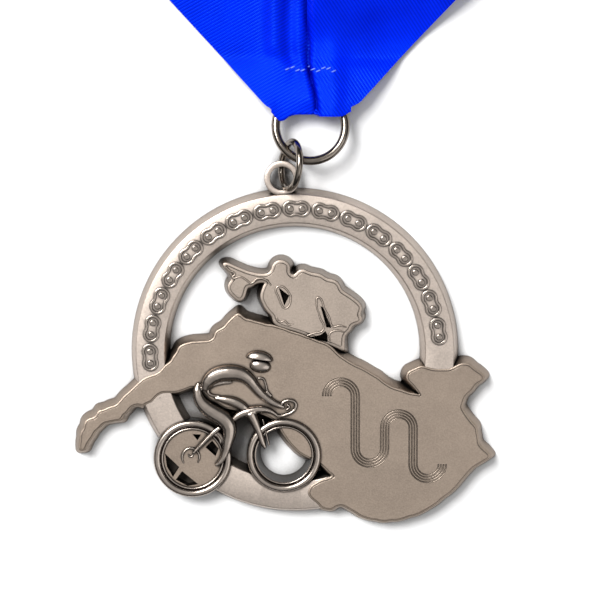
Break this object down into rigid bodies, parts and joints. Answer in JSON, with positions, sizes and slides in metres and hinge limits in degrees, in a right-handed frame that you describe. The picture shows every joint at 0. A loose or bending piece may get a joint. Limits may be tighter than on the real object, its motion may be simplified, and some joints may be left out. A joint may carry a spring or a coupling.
{
  "type": "finisher medal",
  "caption": "Cast ring medal with a map-shaped plate, a cyclist in relief and a winding-road motif, hung by a jump ring and a ribbon ring from a folded blue neck ribbon.",
  "frame": {"origin": "centre of the medal's ring, on the flat back face that it lies on", "axes": "+Y from the ring's centre towards the lug and ribbon, +Z out of the medal's face, +X to the right as the face is read"},
  "size_m": [0.0903, 0.1429, 0.0108],
  "materials": {
    "cast_nickel": "sand-blasted antique nickel on a zinc die-casting",
    "polished_nickel": "polished antique nickel relief with dark recesses",
    "wire_nickel": "bright nickel-plated steel wire",
    "ribbon_blue": "royal blue woven satin ribbon",
    "thread_blue": "polyester sewing thread"
  },
  "bodies": {
    "medal": {"ring_band": "cast_nickel", "hanger_lug": "cast_nickel", "band_ornament": "polished_nickel", "map_plate": "cast_nickel", "upper_plate": "cast_nickel", "rear_wheel": "polished_nickel", "front_wheel": "polished_nickel", "bicycle_frame": "polished_nickel", "rider": "polished_nickel", "helmet": "polished_nickel"},
    "jump_ring": {"jump_ring": "wire_nickel"},
    "ribbon_ring": {"ribbon_ring": "wire_nickel", "ribbon_fold": "ribbon_blue"},
    "ribbon": {"ribbon_arms": "ribbon_blue", "ribbon_stack": "ribbon_blue", "ribbon_stitches": "thread_blue"}
  },
  "joints": [
    {"name": "jump_ring_swing", "type": "hinge", "parent": "medal", "child": "jump_ring", "pos_m": [-0.0028, 0.04105, 0.00255], "axis": [1, 0, 0], "range_deg": [-90, 0]},
    {"name": "ribbon_ring_swing", "type": "hinge", "parent": "jump_ring", "child": "ribbon_ring", "pos_m": [-0.00093, 0.0432, 0.00514], "axis": [0.8192, -0.5606, 0.1212], "range_deg": [-45, 60]},
    {"name": "ribbon_bend", "type": "hinge", "parent": "ribbon_ring", "child": "ribbon", "pos_m": [0.00395, 0.05973, 0.0007], "axis": [1, 0, 0], "range_deg": [-30, 60]}
  ]
}
